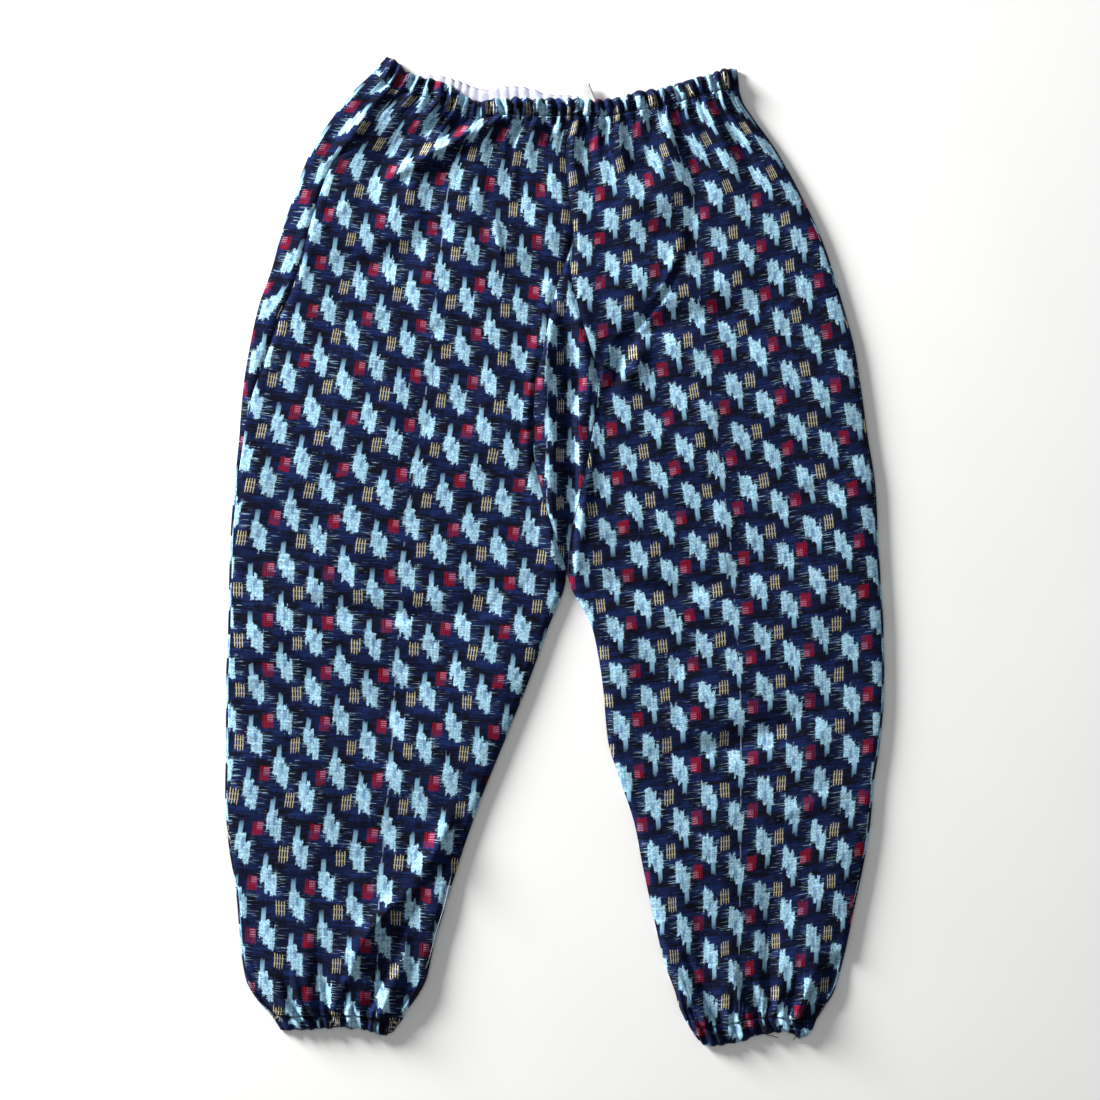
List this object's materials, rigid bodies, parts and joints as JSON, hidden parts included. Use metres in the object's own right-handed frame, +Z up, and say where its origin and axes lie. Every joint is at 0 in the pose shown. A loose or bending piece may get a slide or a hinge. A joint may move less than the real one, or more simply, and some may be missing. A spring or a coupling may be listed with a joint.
{
  "type": "monpe trousers laid flat",
  "caption": "Wide gathered work trousers with a crotch gusset and drawn-in ankles, in indigo double-ikat cotton, laid flat with the front up",
  "frame": {"origin": "middle of the laid garment's box, on the surface it lies on", "axes": "+Y towards the waist, +Z up off the surface, +X to the viewer's right, which is the wearer's left"},
  "size_m": [0.619, 0.9298, 0.0135],
  "materials": {
    "indigo_ikat": "plain-weave cotton, navy with pale blue, cream and red double-ikat blocks",
    "white_facing": "plain white cotton, gathered",
    "white_tape": "white cotton tape"
  },
  "bodies": {
    "root": {"front_right_leg": "indigo_ikat", "front_left_leg": "indigo_ikat", "back_right_leg": "indigo_ikat", "back_left_leg": "indigo_ikat", "gusset_front": "indigo_ikat", "gusset_back": "indigo_ikat", "waistband_front": "indigo_ikat", "waistband_back": "indigo_ikat", "cuff_right_front": "indigo_ikat", "cuff_right_back": "indigo_ikat", "cuff_left_front": "indigo_ikat", "cuff_left_back": "indigo_ikat", "back_facing": "white_facing", "tape_loop": "white_tape"}
  },
  "joints": []
}
